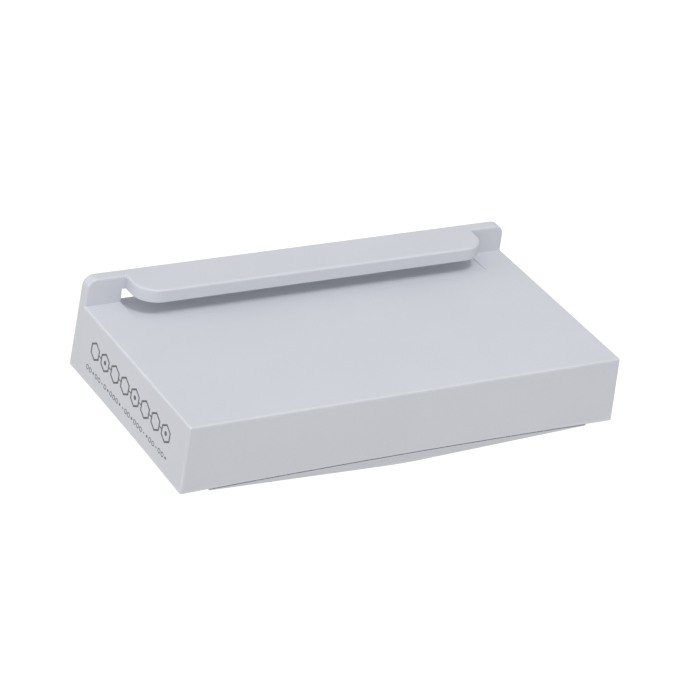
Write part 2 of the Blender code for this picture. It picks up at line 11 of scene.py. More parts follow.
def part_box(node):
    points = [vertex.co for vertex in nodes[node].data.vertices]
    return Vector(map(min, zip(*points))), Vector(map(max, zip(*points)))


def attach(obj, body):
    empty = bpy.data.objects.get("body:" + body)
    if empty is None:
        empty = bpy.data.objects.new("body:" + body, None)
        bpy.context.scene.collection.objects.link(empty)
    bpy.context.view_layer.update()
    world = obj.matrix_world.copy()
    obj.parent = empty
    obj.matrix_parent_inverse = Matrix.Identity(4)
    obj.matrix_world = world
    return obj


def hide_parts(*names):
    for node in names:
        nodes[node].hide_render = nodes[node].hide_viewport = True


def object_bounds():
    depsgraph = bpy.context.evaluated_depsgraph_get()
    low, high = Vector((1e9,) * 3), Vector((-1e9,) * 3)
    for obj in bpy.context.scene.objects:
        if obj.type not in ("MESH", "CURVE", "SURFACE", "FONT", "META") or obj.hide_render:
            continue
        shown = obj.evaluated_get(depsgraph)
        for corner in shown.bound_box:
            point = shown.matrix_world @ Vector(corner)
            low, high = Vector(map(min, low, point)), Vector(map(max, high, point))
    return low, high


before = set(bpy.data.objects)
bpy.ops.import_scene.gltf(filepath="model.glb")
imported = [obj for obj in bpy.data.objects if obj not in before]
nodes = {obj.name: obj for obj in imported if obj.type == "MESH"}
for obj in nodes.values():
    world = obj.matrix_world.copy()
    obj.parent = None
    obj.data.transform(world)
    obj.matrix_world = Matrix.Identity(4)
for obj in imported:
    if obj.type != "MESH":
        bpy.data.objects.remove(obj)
cad_low, cad_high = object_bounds()


# ---- Camera -------------------------------------------------------------------------------
# A long lens from the front left and above, rolled a little, as a small product is shown.
# Its place is given in widths of the top face, from the middle of that face's front edge.
top_face = 0.1200
wall_lean = 0.0007                 # how far a wall leans out between top face and rim
lip_rise = 0.0072                  # how far the hook lip stands above the top face
front_top_edge = Vector((0.0, cad_low.y + wall_lean, cad_high.z - lip_rise))
eye = front_top_edge + top_face * Vector((-3.1271, -4.4045, 3.0975))
right = Vector((0.8638, -0.4826, 0.1448))
down = Vector((-0.1311, -0.4929, -0.8602))
right.normalize()
down = (down - down.dot(right) * right).normalized()
forward = right.cross(down)

camera_data = bpy.data.cameras.new("camera")
camera_data.sensor_width = 36.0
camera_data.lens = 161.1
camera_data.clip_start = 0.01
camera_data.clip_end = 20.0
camera = bpy.data.objects.new("camera", camera_data)
bpy.context.scene.collection.objects.link(camera)
turn = Matrix((right, -down, -forward)).transposed().to_4x4()
camera.matrix_world = Matrix.Translation(eye) @ turn
bpy.context.scene.camera = camera


# ---- Floor and light ----------------------------------------------------------------------
# A back-lit white table, clear from below, a soft box above and a little in front that throws
# the lip's shadow on the top face, and a white tent that shines more from the left.
bpy.context.scene.view_settings.view_transform = "Standard"
floor_gap = 0.00002                # keeps the cover's foot off the table's own surface
floor_glow = 0.582
floor_shine = 0.44                 # added where the table is looked at
tent_even_light = 0.413
tent_light = (1.35, 0.163, 0.05)   # from the left, from the front, from above


def new_material(name):
    """A node material; returns it with its tree and its Principled shader."""
    material = bpy.data.materials.new(name)
    material.use_nodes = True
    tree = material.node_tree
    return material, tree, tree.nodes["Principled BSDF"]


def feed(tree, entry, value):
    """Link another node's output into this input, or set the input to a plain value."""
    if isinstance(value, bpy.types.NodeSocket):
        tree.links.new(value, entry)
    else:
        entry.default_value = value


def math_node(tree, operation, *operands):
    """A Math node; an operand is a socket or a number."""
    node = tree.nodes.new("ShaderNodeMath")
    node.operation = operation
    for entry, operand in zip(node.inputs, operands):
        feed(tree, entry, operand)
    return node.outputs[0]


def vector_node(tree, operation, *operands):
    """A Vector Math node; an operand is a socket or a triple."""
    node = tree.nodes.new("ShaderNodeVectorMath")
    node.operation = operation
    for entry, operand in zip(node.inputs, operands):
        feed(tree, entry, operand)
    return node.outputs["Value" if operation in ("DOT_PRODUCT", "LENGTH") else "Vector"]


bpy.ops.mesh.primitive_plane_add(size=6.0, location=(0, 0, cad_low.z - floor_gap))
floor = bpy.context.object
floor.name = "floor"
floor_white, floor_tree, floor_shader = new_material("floor_white")
floor_shader.inputs["Base Color"].default_value = (0.10, 0.10, 0.10, 1)
floor_shader.inputs["Roughness"].default_value = 0.9
floor_shader.inputs["Specular IOR Level"].default_value = 0.0
floor_shader.inputs["Emission Color"].default_value = (1.0, 0.995, 0.97, 1)
looked_at = floor_tree.nodes.new("ShaderNodeLightPath").outputs["Is Camera Ray"]
floor_tree.links.new(
    math_node(floor_tree, "ADD", math_node(floor_tree, "MULTIPLY", looked_at, floor_shine),
              floor_glow), floor_shader.inputs["Emission Strength"])
from_below = floor_tree.nodes.new("ShaderNodeNewGeometry").outputs["Backfacing"]
floor_tree.links.new(math_node(floor_tree, "SUBTRACT", 1.0, from_below),
                     floor_shader.inputs["Alpha"])
floor.data.materials.append(floor_white)

soft_box_place = Vector((0.0, -0.334, 0.836))
soft_box_data = bpy.data.lights.new("soft_box", "AREA")
soft_box_data.size = 0.28
soft_box_data.energy = 3.17
soft_box = bpy.data.objects.new("soft_box", soft_box_data)
bpy.context.scene.collection.objects.link(soft_box)
soft_box.location = soft_box_place
soft_box.rotation_mode = "QUATERNION"
soft_box.rotation_quaternion = (-soft_box_place).to_track_quat("-Z", "Y")

tent = bpy.data.worlds.new("tent")
tent.use_nodes = True
tent_tree = tent.node_tree
tent_sky = tent_tree.nodes["Background"]
tent_sky.inputs["Color"].default_value = (1.0, 0.995, 0.985, 1)
direction = tent_tree.nodes.new("ShaderNodeTexCoord").outputs["Generated"]
towards = vector_node(tent_tree, "MAXIMUM", vector_node(
    tent_tree, "MULTIPLY", direction, (-1, -1, 1)), (0, 0, 0))
squared = vector_node(tent_tree, "MULTIPLY", towards, towards)
tent_tree.links.new(
    math_node(tent_tree, "ADD", vector_node(tent_tree, "DOT_PRODUCT", squared, tent_light),
              tent_even_light), tent_sky.inputs["Strength"])
bpy.context.scene.world = tent


# ---- Housing ------------------------------------------------------------------------------
# One injection moulding in satin lavender-grey ABS: the box, its hanger plate and the hook lip.
# The mould is spark-eroded, so the faces carry a fine even grain; the edges carry a painted
# highlight, a paler colour, and are a little smoother.

def new_group(name, inputs, outputs):
    """An empty shader node group; returns it with its two end nodes."""
    group = bpy.data.node_groups.new(name, "ShaderNodeTree")
    for label, kind, value in inputs:
        socket = group.interface.new_socket(label, in_out="INPUT", socket_type=kind)
        socket.default_value = value
    for label, kind in outputs:
        group.interface.new_socket(label, in_out="OUTPUT", socket_type=kind)
    return group, group.nodes.new("NodeGroupInput"), group.nodes.new("NodeGroupOutput")


def noise_node(tree, vector, scale, detail, roughness=0.5):
    node = tree.nodes.new("ShaderNodeTexNoise")
    feed(tree, node.inputs["Scale"], scale)
    node.inputs["Detail"].default_value = detail
    node.inputs["Roughness"].default_value = roughness
    tree.links.new(vector, node.inputs["Vector"])
    return node.outputs["Fac"]


def spread(tree, value, from_low, from_high, to_low, to_high):
    """Map Range, clamped."""
    node = tree.nodes.new("ShaderNodeMapRange")
    for label, number in (("Value", value), ("From Min", from_low), ("From Max", from_high),
                          ("To Min", to_low), ("To Max", to_high)):
        feed(tree, node.inputs[label], number)
    return node.outputs["Result"]


def blend_colours(tree, mask, first, second):
    """Mix two colours; each is a socket or an RGB triple."""
    node = tree.nodes.new("ShaderNodeMix")
    node.data_type = "RGBA"
    feed(tree, node.inputs[0], mask)
    for number, colour in ((6, first), (7, second)):
        feed(tree, node.inputs[number], (*colour, 1.0) if isinstance(colour, tuple) else colour)
    return node.outputs[2]


def make_moulded_skin():
    """Spark-eroded plastic: fine grain, faint flow marks and the odd pigment speck."""
    group, given, result = new_group(
        "moulded_skin",
        [("Vector", "NodeSocketVector", (0, 0, 0)), ("Colour", "NodeSocketColor", (1, 1, 1, 1)),
         ("Grain Scale", "NodeSocketFloat", 2600.0), ("Gloss Change", "NodeSocketFloat", 0.06)],
        [("Colour", "NodeSocketColor"), ("Roughness Shift", "NodeSocketFloat"),
         ("Height", "NodeSocketFloat")])
    coarse = noise_node(group, given.outputs["Vector"], given.outputs["Grain Scale"], 2.0, 0.6)
    fine = noise_node(group, given.outputs["Vector"], 7800.0, 1.0)
    grain = math_node(group, "ADD", math_node(group, "MULTIPLY", coarse, 0.7),
                      math_node(group, "MULTIPLY", fine, 0.3))
    flow = noise_node(group, given.outputs["Vector"], 42.0, 3.0, 0.55)
    tone = spread(group, flow, 0.3, 0.7, 0.985, 1.012)
    pits = spread(group, grain, 0.30, 0.62, 0.975, 1.008)
    shade = math_node(group, "MULTIPLY", tone, pits)
    tinted = vector_node(group, "MULTIPLY", given.outputs["Colour"], shade)
    cells = group.nodes.new("ShaderNodeTexVoronoi")
    cells.inputs["Scale"].default_value = 190.0
    group.links.new(given.outputs["Vector"], cells.inputs["Vector"])
    picked = group.nodes.new("ShaderNodeSeparateColor")
    group.links.new(cells.outputs["Color"], picked.inputs["Color"])
    rare = math_node(group, "LESS_THAN", picked.outputs[0], 0.035)
    near = math_node(group, "LESS_THAN", cells.outputs["Distance"], 0.030)
    speck = math_node(group, "MULTIPLY", rare, near)
    faint = math_node(group, "MULTIPLY", speck, 0.35)
    speckled = blend_colours(group, faint, tinted, (0.20, 0.19, 0.18))
    centred = math_node(group, "SUBTRACT", grain, 0.5)
    rough = math_node(group, "MULTIPLY", centred, given.outputs["Gloss Change"])
    patch = spread(group, flow, 0.3, 0.7, -0.02, 0.02)
    group.links.new(speckled, result.inputs["Colour"])
    group.links.new(math_node(group, "ADD", rough, patch), result.inputs["Roughness Shift"])
    group.links.new(grain, result.inputs["Height"])
    return group


def make_edge_highlight():
    """Painted highlight on a box-shaped moulding: a mask on its edges, broken up."""
    group, given, result = new_group(
        "edge_highlight",
        [("Vector", "NodeSocketVector", (0, 0, 0)), ("Middle", "NodeSocketVector", (0, 0, 0)),
         ("Half", "NodeSocketVector", (1, 1, 1)), ("Width", "NodeSocketFloat", 0.0012)],
        [("Mask", "NodeSocketFloat")])
    offset = vector_node(group, "SUBTRACT", given.outputs["Vector"], given.outputs["Middle"])
    depth = vector_node(group, "SUBTRACT", given.outputs["Half"],
                        vector_node(group, "ABSOLUTE", offset))
    off_edge = vector_node(group, "ABSOLUTE", depth)
    split = group.nodes.new("ShaderNodeSeparateXYZ")
    group.links.new(off_edge, split.inputs[0])
    close = [spread(group, split.outputs[axis], 0.0, given.outputs["Width"], 1.0, 0.0)
             for axis in range(3)]
    pairs = [math_node(group, "MULTIPLY", close[a], close[b]) for a, b in ((0, 1), (1, 2), (0, 2))]
    edge = math_node(group, "MAXIMUM", math_node(group, "MAXIMUM", pairs[0], pairs[1]), pairs[2])
    broken = spread(group, noise_node(group, given.outputs["Vector"], 160.0, 4.0, 0.6),
                    0.38, 0.62, 0.25, 1.0)
    group.links.new(math_node(group, "MULTIPLY", edge, broken), result.inputs["Mask"])
    return group


moulded_skin = make_moulded_skin()
edge_highlight = make_edge_highlight()


def object_vector(tree):
    return tree.nodes.new("ShaderNodeTexCoord").outputs["Object"]


def place_group(tree, group, vector, **values):
    """Put a shader node group in a material, with its own values."""
    node = tree.nodes.new("ShaderNodeGroup")
    node.node_tree = group
    tree.links.new(vector, node.inputs["Vector"])
    for label, value in values.items():
        node.inputs[label.replace("_", " ")].default_value = value
    return node


def bump(tree, shader, height, distance, strength):
    node = tree.nodes.new("ShaderNodeBump")
    node.inputs["Distance"].default_value = distance
    node.inputs["Strength"].default_value = strength
    tree.links.new(height, node.inputs["Height"])
    tree.links.new(node.outputs["Normal"], shader.inputs["Normal"])


def satin_plastic(name, colour, roughness, boxes, grain_depth):
    """A grained moulding with a painted highlight, paler and a little smoother, along the edges of
    its boxes.
    """
    material, tree, shader = new_material(name)
    vector = object_vector(tree)
    skin = place_group(tree, moulded_skin, vector, Colour=(*colour, 1.0))
    edge_highlight_mask = 0.0
    for middle, half, width in boxes:
        edges = place_group(tree, edge_highlight, vector, Middle=middle, Half=half, Width=width)
        edge_highlight_mask = math_node(tree, "MAXIMUM", edges.outputs["Mask"], edge_highlight_mask)
    # Painted highlight: near the boxes' edges the colour is mixed towards a paler one, and the
    # surface there is also a little smoother.
    highlight_colour = tuple(part * 1.11 + 0.01 for part in colour)
    tree.links.new(
        blend_colours(tree, math_node(tree, "MULTIPLY", edge_highlight_mask, 0.85), skin.outputs["Colour"], highlight_colour),
        shader.inputs["Base Color"])
    satin = math_node(tree, "ADD", skin.outputs["Roughness Shift"], roughness)
    tree.links.new(math_node(tree, "SUBTRACT", satin, math_node(tree, "MULTIPLY", edge_highlight_mask, 0.10)),
                   shader.inputs["Roughness"])
    shader.inputs["Specular IOR Level"].default_value = 0.42
    bump(tree, shader, skin.outputs["Height"], grain_depth, 0.55)
    return material


def dress(node_name, material):
    """Give a carried-over CAD node its finished material."""
    for slot in nodes[node_name].material_slots:
        slot.material = material


def coat(piece, material):
    """Give a new piece its one material."""
    piece.data.materials.clear()
    piece.data.materials.append(material)


wall_height = 0.0176
top_level = front_top_edge.z
side_foot = Vector(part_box("housing")[1]).x
plate_side = 0.02                  # the box runs on past the plate, which has no edge there
# The box whose edges carry the housing's painted highlight.
body_middle = (0.0, plate_side, top_level - wall_height / 2)
body_half = (side_foot, cad_high.y + plate_side, wall_height / 2)

lip_front = 0.01865
lip_under = 0.0233
# The hook lip's own box, so that the painted highlight also runs along the lip's front edges.
lip_box = ((0.0, lip_front + cad_high.y, (lip_under + cad_high.z) / 2),
           (cad_high.x, cad_high.y, (cad_high.z - lip_under) / 2), 0.0006)
housing_plastic = satin_plastic(
    "housing_plastic", (0.640, 0.660, 0.715), 0.46,
    [(body_middle, body_half, 0.0012), lip_box], 0.000016)
dress("housing", housing_plastic)


# ---- Side print ---------------------------------------------------------------------------
# Two lines of pad-printed marks on the left wall, in mid-grey ink a few hundredths of a
# millimetre thick: a row of carbon rings joined by bonds, and a row of small marks below it.
ink_height = 0.00003
ring_radius = 0.00256
ring_stroke = 0.00046
ring_count = 8
ring_pitch = 0.00552
ring_line = (0.0188, 0.01208)      # first ring's middle: y and z
bond_size = (0.00105, 0.00036)
atom_size = (0.00120, 0.00119)
small_radius = 0.00072
small_stroke = 0.00020
small_marks = "oo.oo-o.ooo.-oo.ooo-.oo-oo."
small_pitch = 0.00165
small_line = (0.0214, 0.00640)


def work_on(item, by="FACE"):
    """Make this the only selected object, and open it for editing by faces or points."""
    bpy.ops.object.select_all(action="DESELECT")
    item.select_set(True)
    bpy.context.view_layer.objects.active = item
    bpy.ops.object.mode_set(mode="EDIT")
    bpy.ops.mesh.select_mode(type=by)


def leave_editing():
    bpy.ops.object.mode_set(mode="OBJECT")


def raise_ink(outline):
    """Give a flat outline the ink's height, with its faces turned outwards."""
    work_on(outline)
    bpy.ops.mesh.select_all(action="SELECT")
    bpy.ops.mesh.extrude_region_move(TRANSFORM_OT_translate={"value": (0, 0, ink_height)})
    bpy.ops.mesh.select_all(action="SELECT")
    bpy.ops.mesh.normals_make_consistent(inside=False)
    leave_editing()
    return outline


def ink_ring(radius, stroke):
    """One hexagon outline, lying in the XY plane, a point upwards."""
    bpy.ops.object.select_all(action="DESELECT")
    bpy.ops.mesh.primitive_circle_add(vertices=6, radius=radius, fill_type="NGON")
    ring = bpy.context.object
    work_on(ring)
    bpy.ops.mesh.select_all(action="SELECT")
    bpy.ops.mesh.inset(thickness=stroke)
    bpy.ops.mesh.delete(type="FACE")
    leave_editing()
    return raise_ink(ring)


def ink_dash(length, height):
    """A dash with round ends, lying along X in the XY plane."""
    bpy.ops.object.select_all(action="DESELECT")
    bpy.ops.mesh.primitive_circle_add(vertices=12, radius=height / 2, fill_type="NGON")
    dash = bpy.context.object
    for vert in dash.data.vertices:
        vert.co.x += math.copysign(max(0.0, length - height) / 2, vert.co.x + 1e-7)
    return raise_ink(dash)


def on_left_wall(y, z):
    """Turns the XY plane into the leaning left wall: X runs to the front, Y up, Z outwards."""
    lean = math.atan2(wall_lean, wall_height)
    out = Vector((-math.cos(lean), 0, math.sin(lean)))
    along = Vector((0, -1, 0))
    up = out.cross(along)
    x = -(side_foot - wall_lean + wall_lean * (top_level - z) / wall_height)
    spin = Matrix((along, up, out)).transposed().to_4x4()
    return Matrix.Translation((x, y, z)) @ spin


def stamp(pattern, place):
    """A copy of a mark with its own mesh, put in its place."""
    mark = pattern.copy()
    mark.data = pattern.data.copy()
    mark.data.transform(place)
    bpy.context.scene.collection.objects.link(mark)
    return mark


def join_pieces(items, name):
    bpy.ops.object.select_all(action="DESELECT")
    for item in items:
        item.select_set(True)
    bpy.context.view_layer.objects.active = items[0]
    bpy.ops.object.join()
    whole = bpy.context.object
    whole.name = name
    whole.data.name = name
    return whole


ring_mark = ink_ring(ring_radius, ring_stroke)
bond_mark = ink_dash(*bond_size)
atom_mark = ink_dash(*atom_size)
marks = []
for number in range(ring_count):
    y = ring_line[0] - number * ring_pitch
    marks.append(stamp(ring_mark, on_left_wall(y, ring_line[1])))
    if number % 3 == 1:
        marks.append(stamp(atom_mark, on_left_wall(y, ring_line[1])))
    if number < ring_count - 1:
        marks.append(stamp(bond_mark, on_left_wall(y - ring_pitch / 2, ring_line[1])))
small_patterns = {"o": ink_ring(small_radius, small_stroke),
                  ".": ink_dash(small_radius, small_radius * 0.99),
                  "-": ink_dash(small_radius, small_stroke * 1.2)}
for number, shape in enumerate(small_marks):
    place = on_left_wall(small_line[0] - number * small_pitch, small_line[1])
    marks.append(stamp(small_patterns[shape], place))
for pattern in (ring_mark, bond_mark, atom_mark, *small_patterns.values()):
    bpy.data.objects.remove(pattern, do_unlink=True)
side_print = join_pieces(marks, "side_print")

print_ink, ink_tree, ink_shader = new_material("print_ink")
ink_vector = object_vector(ink_tree)
ink_skin = place_group(ink_tree, moulded_skin, ink_vector, Colour=(0.135, 0.138, 0.150, 1.0))
ink_wear = spread(ink_tree, noise_node(ink_tree, ink_vector, 900.0, 4.0, 0.7), 0.60, 0.75, 0.0, 0.5)
ink_tree.links.new(
    blend_colours(ink_tree, ink_wear, ink_skin.outputs["Colour"], (0.42, 0.43, 0.47)),
    ink_shader.inputs["Base Color"])
ink_tree.links.new(math_node(ink_tree, "ADD", ink_skin.outputs["Roughness Shift"], 0.52),
                   ink_shader.inputs["Roughness"])
bump(ink_tree, ink_shader, ink_skin.outputs["Height"], 0.000012, 0.5)
coat(side_print, print_ink)
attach(side_print, "housing")


# ---- Vent cover ---------------------------------------------------------------------------
# The slotted bottom cover, moulded in the same ABS a shade darker. It hinges at the back and
# snaps in at the front, where its bowed band shows under the front wall.
cover_low, cover_high = (Vector(corner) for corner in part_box("vent_cover"))
# Its edges carry the same painted highlight as the housing's: paler and a little smoother.
cover_plastic = satin_plastic(
    "cover_plastic", (0.610, 0.628, 0.682), 0.50,
    [((cover_low + cover_high) / 2, (cover_high - cover_low) / 2, 0.0010)], 0.000020)
dress("vent_cover", cover_plastic)


# ---- Hinge pins ---------------------------------------------------------------------------
# Two short pins of ground stainless wire, pressed into the housing's lugs; the cover's
# knuckles turn on them. Grinding leaves fine rings round the pin and a faint oil film.
pin_steel, pin_tree, pin_shader = new_material("pin_steel")
pin_shader.inputs["Metallic"].default_value = 1.0
pin_stretch = pin_tree.nodes.new("ShaderNodeMapping")
pin_stretch.inputs["Scale"].default_value = (1.0, 0.04, 0.04)
pin_tree.links.new(object_vector(pin_tree), pin_stretch.inputs["Vector"])
grinding = noise_node(pin_tree, pin_stretch.outputs[0], 9000.0, 3.0, 0.6)
oil_film = noise_node(pin_tree, object_vector(pin_tree), 700.0, 3.0, 0.5)
pin_tree.links.new(
    blend_colours(pin_tree, spread(pin_tree, oil_film, 0.4, 0.7, 0.0, 0.6),
                  (0.63, 0.62, 0.61), (0.40, 0.37, 0.33)),
    pin_shader.inputs["Base Color"])
pin_tree.links.new(spread(pin_tree, grinding, 0.3, 0.7, 0.20, 0.38), pin_shader.inputs["Roughness"])
bump(pin_tree, pin_shader, grinding, 0.000004, 0.6)
for side in ("left", "right"):
    dress(f"hinge_pin_{side}", pin_steel)


# ---- Cartridge tray and lid ---------------------------------------------------------------
# The replaceable cartridge: a four-cell tray and a snap-on square lattice, both in natural
# white polypropylene, waxy and faintly cloudy, with round ejector marks from the mould.
cartridge_plastic, tray_tree, tray_shader = new_material("cartridge_plastic")
tray_vector = object_vector(tray_tree)
waxy_skin = place_group(tray_tree, moulded_skin, tray_vector, Colour=(0.790, 0.800, 0.805, 1.0),
                        Grain_Scale=1500.0, Gloss_Change=0.10)
cloud = spread(tray_tree, noise_node(tray_tree, tray_vector, 75.0, 4.0, 0.6), 0.35, 0.7, 0.0, 0.45)
tray_tree.links.new(
    blend_colours(tray_tree, cloud, waxy_skin.outputs["Colour"], (0.72, 0.735, 0.745)),
    tray_shader.inputs["Base Color"])
tray_tree.links.new(math_node(tray_tree, "ADD", waxy_skin.outputs["Roughness Shift"], 0.38),
                    tray_shader.inputs["Roughness"])
ejector_pitch = 0.0140
ejector_radius = 0.0016
ejector_depth = 3.0                # against the grain's own height
repeated = vector_node(tray_tree, "WRAP", tray_vector,
                       (ejector_pitch / 2,) * 3, (-ejector_pitch / 2,) * 3)
from_pin = vector_node(tray_tree, "LENGTH",
                       vector_node(tray_tree, "MULTIPLY", repeated, (1.0, 1.0, 0.0)))
disc = spread(tray_tree, from_pin, ejector_radius, ejector_radius * 1.08, 0.0, 1.0)
waxy_height = math_node(tray_tree, "ADD", math_node(tray_tree, "MULTIPLY", disc, ejector_depth),
                        waxy_skin.outputs["Height"])
bump(tray_tree, tray_shader, waxy_height, 0.000018, 0.6)
tray_shader.inputs["Specular IOR Level"].default_value = 0.45
for node_name in ("cartridge_tray", "cartridge_grid"):
    dress(node_name, cartridge_plastic)


# ---- Carbon beds --------------------------------------------------------------------------
# Activated-carbon granules, crushed and sieved to about 1.6 mm, poured into each cell of the
# upturned tray until it is full. The open side of each bed is a layer of loose granules.
granule_radius = 0.00078
granule_pitch = 0.00148
granule_break = 0.72               # where its flat breaks lie, in radii
smallest_granule = 0.72            # against the largest
granule_lift = 0.00045             # how unevenly the open layer lies
core_sink = 0.0011                 # from the bed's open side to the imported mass
core_rim = 0.0008
core_cuts = 14
core_lumps = 0.0006
pour = random.Random(41)


def hewn_granule():
    """A crushed grain: a coarse ball cut by three flat breaks."""
    bpy.ops.object.select_all(action="DESELECT")
    bpy.ops.mesh.primitive_ico_sphere_add(subdivisions=1, radius=granule_radius)
    grain = bpy.context.object
    for tilt in ((1, 0.3, 0.2), (-0.4, 1, 0.3), (0.2, -0.5, -1)):
        work_on(grain)
        bpy.ops.mesh.select_all(action="SELECT")
        bpy.ops.mesh.bisect(
            plane_co=Vector(tilt).normalized() * granule_radius * granule_break,
            plane_no=tilt, use_fill=True, clear_outer=True)
        leave_editing()
    return grain


def bed_core(name, low, high):
    """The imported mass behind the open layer: a block with a lumpy open side."""
    middle = (Vector(low) + Vector(high)) / 2
    bpy.ops.object.select_all(action="DESELECT")
    bpy.ops.mesh.primitive_cube_add(size=1.0, location=middle, scale=Vector(high) - Vector(low))
    core = bpy.context.object
    bpy.ops.object.transform_apply(location=True, rotation=True, scale=True)
    work_on(core)
    leave_editing()
    for face in core.data.polygons:
        face.select = face.normal.z < -0.9
    bpy.ops.object.mode_set(mode="EDIT")
    bpy.ops.mesh.inset(thickness=core_rim)
    bpy.ops.mesh.subdivide(number_cuts=core_cuts)
    leave_editing()
    for vert in core.data.vertices:
        inside = low[0] + core_rim * 0.9 < vert.co.x < high[0] - core_rim * 0.9
        if inside and vert.co.z < low[2] + 1e-6:
            vert.co.z += pour.uniform(0.0, core_lumps)
    core.name = name
    return core


granule = hewn_granule()
carbon_beds = []
for number in range(1, 5):
    low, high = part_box(f"carbon_bed_{number}")
    core = bed_core(f"carbon_granules_{number}", (low[0], low[1], low[2] + core_sink), high)
    bm = bmesh.new()
    bm.from_mesh(core.data)
    columns = int((high[0] - low[0] - 2 * granule_radius) / granule_pitch) + 1
    rows = int((high[1] - low[1] - 2 * granule_radius) / granule_pitch) + 1
    spare_x = high[0] - low[0] - (columns - 1) * granule_pitch
    spare_y = high[1] - low[1] - (rows - 1) * granule_pitch
    for column in range(columns):
        for row in range(rows):
            size = pour.uniform(smallest_granule, 1.0)
            room = granule_radius * (1.0 - size)
            place = Vector((
                low[0] + spare_x / 2 + column * granule_pitch + pour.uniform(-room, room),
                low[1] + spare_y / 2 + row * granule_pitch + pour.uniform(-room, room),
                low[2] + granule_radius + pour.uniform(0.0, granule_lift)))
            turned = Matrix.Rotation(pour.uniform(0, math.tau), 4, Vector(
                (pour.uniform(-1, 1), pour.uniform(-1, 1), pour.uniform(-1, 1))).normalized())
            first = len(bm.verts)
            bm.from_mesh(granule.data)
            bm.verts.ensure_lookup_table()
            bmesh.ops.transform(
                bm, matrix=Matrix.Translation(place) @ turned @ Matrix.Scale(size, 4),
                verts=bm.verts[first:])
    bm.to_mesh(core.data)
    bm.free()
    carbon_beds.append(core)
bpy.data.objects.remove(granule, do_unlink=True)

activated_carbon, carbon_tree, carbon_shader = new_material("activated_carbon")
carbon_vector = object_vector(carbon_tree)
grain_cells = carbon_tree.nodes.new("ShaderNodeTexVoronoi")
grain_cells.inputs["Scale"].default_value = 650.0
carbon_tree.links.new(carbon_vector, grain_cells.inputs["Vector"])
carbon_tone = carbon_tree.nodes.new("ShaderNodeSeparateColor")
carbon_tree.links.new(grain_cells.outputs["Color"], carbon_tone.inputs["Color"])
carbon_tree.links.new(
    blend_colours(carbon_tree, carbon_tone.outputs[0],
                  (0.010, 0.010, 0.011), (0.042, 0.041, 0.040)),
    carbon_shader.inputs["Base Color"])
pores = noise_node(carbon_tree, carbon_vector, 5200.0, 4.0, 0.7)
carbon_tree.links.new(spread(carbon_tree, pores, 0.35, 0.6, 0.42, 0.92),
                      carbon_shader.inputs["Roughness"])
bump(carbon_tree, carbon_shader, pores, 0.00006, 0.8)
for number, bed in enumerate(carbon_beds, 1):
    coat(bed, activated_carbon)
    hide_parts(f"carbon_bed_{number}")
    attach(bed, "housing")


# ---- Dust fleece --------------------------------------------------------------------------
# A spun-bonded polyester fleece 0.3 mm thick, laid on the lattice before the tray is pressed
# in. The carbon behind it pushes it a little way into each hole of the lattice.
fleece_thick = 0.0003
fleece_corner = 0.0020
fleece_bulge = 0.00042
fleece_cell = 0.00095
lattice_hole = 0.0054
lattice_bar = 0.0013
lid_border = 0.0029                # the lid's skirt, 0.9 mm, and its corner radius, 2 mm
bond_pitch = 0.0013
grid_low, grid_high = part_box("cartridge_grid")
fleece_low, fleece_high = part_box("dust_fleece")


def lattice_line(low, high):
    """Middles of the lattice holes between the two sides of the lid."""
    pitch = lattice_hole + lattice_bar
    count = int((high - low - 2 * lid_border - lattice_bar) // pitch)
    start = (low + high) / 2 - (count - 1) * pitch / 2
    return [start + step * pitch for step in range(count)]


def hollow_at(place, line):
    """1 in the middle of a lattice hole, 0 on a bar."""
    offset = min(abs(place - middle) for middle in line)
    return max(0.0, math.cos(math.pi / 2 * min(1.0, offset / (lattice_hole / 2)))) ** 0.6


def thicken(sheet, thickness):
    """Give the active sheet its thickness, half to each side, and shade it smooth."""
    wall = sheet.modifiers.new("wall", "SOLIDIFY")
    wall.thickness = thickness
    wall.offset = 0.0
    bpy.ops.object.modifier_apply(modifier="wall")
    bpy.ops.object.shade_smooth()


fleece_middle = (Vector(fleece_low) + Vector(fleece_high)) / 2
fleece_size = Vector(fleece_high) - Vector(fleece_low)
bpy.ops.object.select_all(action="DESELECT")
bpy.ops.mesh.primitive_plane_add(size=1.0, location=(0, 0, fleece_low[2] + fleece_thick))
fleece = bpy.context.object
fleece.scale = (fleece_size.x, fleece_size.y, 1.0)
fleece.location.x = fleece_middle.x
fleece.location.y = fleece_middle.y
bpy.ops.object.transform_apply(location=True, rotation=True, scale=True)
work_on(fleece, by="VERT")
bpy.ops.mesh.select_all(action="SELECT")
bpy.ops.mesh.bevel(offset=fleece_corner, segments=3, affect="VERTICES")
for axis, direction in enumerate(((1, 0, 0), (0, 1, 0))):
    cuts = int(fleece_size[axis] / fleece_cell)
    for step in range(1, cuts):
        point = [0.0, 0.0, 0.0]
        point[axis] = fleece_low[axis] + fleece_size[axis] * step / cuts
        bpy.ops.mesh.select_all(action="SELECT")
        bpy.ops.mesh.bisect(plane_co=point, plane_no=direction)
leave_editing()
hole_columns = lattice_line(grid_low[0], grid_high[0])
hole_rows = lattice_line(grid_low[1], grid_high[1])
for vert in fleece.data.vertices:
    sink = hollow_at(vert.co.x, hole_columns) * hollow_at(vert.co.y, hole_rows)
    vert.co.z -= fleece_bulge * sink
thicken(fleece, fleece_thick)
fleece.name = "dust_fleece_sheet"


def fibre_layer(tree, vector, angle, scale):
    """Fine fibres that run mostly one way."""
    lay = tree.nodes.new("ShaderNodeMapping")
    lay.inputs["Rotation"].default_value = (0, 0, angle)
    lay.inputs["Scale"].default_value = (1.0, 0.07, 1.0)
    tree.links.new(vector, lay.inputs["Vector"])
    return noise_node(tree, lay.outputs[0], scale, 2.0)


